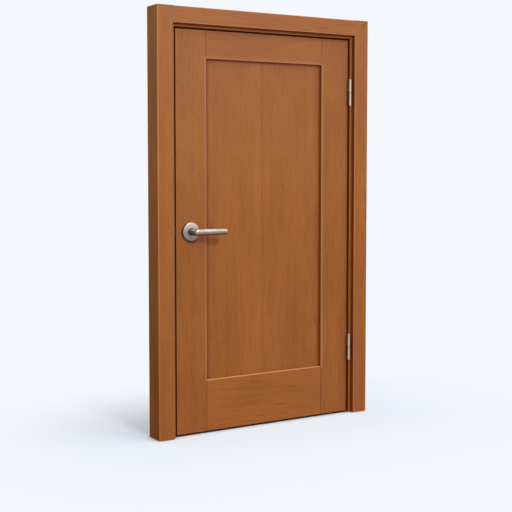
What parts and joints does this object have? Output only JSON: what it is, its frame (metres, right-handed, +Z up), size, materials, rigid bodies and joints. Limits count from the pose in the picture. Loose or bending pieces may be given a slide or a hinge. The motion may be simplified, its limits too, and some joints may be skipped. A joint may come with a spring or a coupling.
{
  "type": "single-panel timber door set",
  "caption": "Timber door set: a recessed flat-panel leaf with stiles and rails, hung on lift-off hinges in a square post-and-head frame, opened by a round-bar lever handle on a rose.",
  "frame": {"origin": "on the wall face of the hinge post, at floor level and half way through the frame's depth", "axes": "+X out of the hinge post towards the wall, +Y from the front to the back, +Z up"},
  "size_m": [1.24, 0.2065, 2.1],
  "materials": {
    "frame_wood": "satin",
    "leaf_wood": "satin",
    "handle_metal": "satin",
    "hinge_steel": "satin",
    "latch_steel": "satin"
  },
  "bodies": {
    "frame": {"hinge_post": "frame_wood", "lock_post": "frame_wood", "frame_head": "frame_wood", "hinge_side_lining": "frame_wood", "lock_side_lining": "frame_wood", "head_lining": "frame_wood", "hinge_side_stop": "frame_wood", "lock_side_stop": "frame_wood", "head_stop": "frame_wood", "strike_plate": "latch_steel", "upper_hinge_lining_half": "hinge_steel", "upper_hinge_pin": "hinge_steel", "lower_hinge_lining_half": "hinge_steel", "lower_hinge_pin": "hinge_steel"},
    "leaf": {"hinge_stile": "leaf_wood", "lock_stile": "leaf_wood", "top_rail": "leaf_wood", "bottom_rail": "leaf_wood", "panel": "leaf_wood", "upper_hinge_leaf_half": "hinge_steel", "lower_hinge_leaf_half": "hinge_steel", "latch_faceplate": "latch_steel", "latch_bolt": "latch_steel", "front_rose": "handle_metal", "back_rose": "handle_metal"},
    "handle": {"front_lever": "handle_metal", "back_lever": "handle_metal", "spindle": "latch_steel"}
  },
  "joints": [
    {"name": "leaf_swing", "type": "hinge", "parent": "frame", "child": "leaf", "pos_m": [-0.105, -0.042, 1], "axis": [0, 0, 1], "range_deg": [0, 150]},
    {"name": "lever_turn", "type": "hinge", "parent": "leaf", "child": "handle", "pos_m": [-1.05, -0.007, 1.012], "axis": [0, 1, 0], "range_deg": [0, 45], "stiffness_Nm_per_rad": 2, "springref_deg": -34.38}
  ]
}
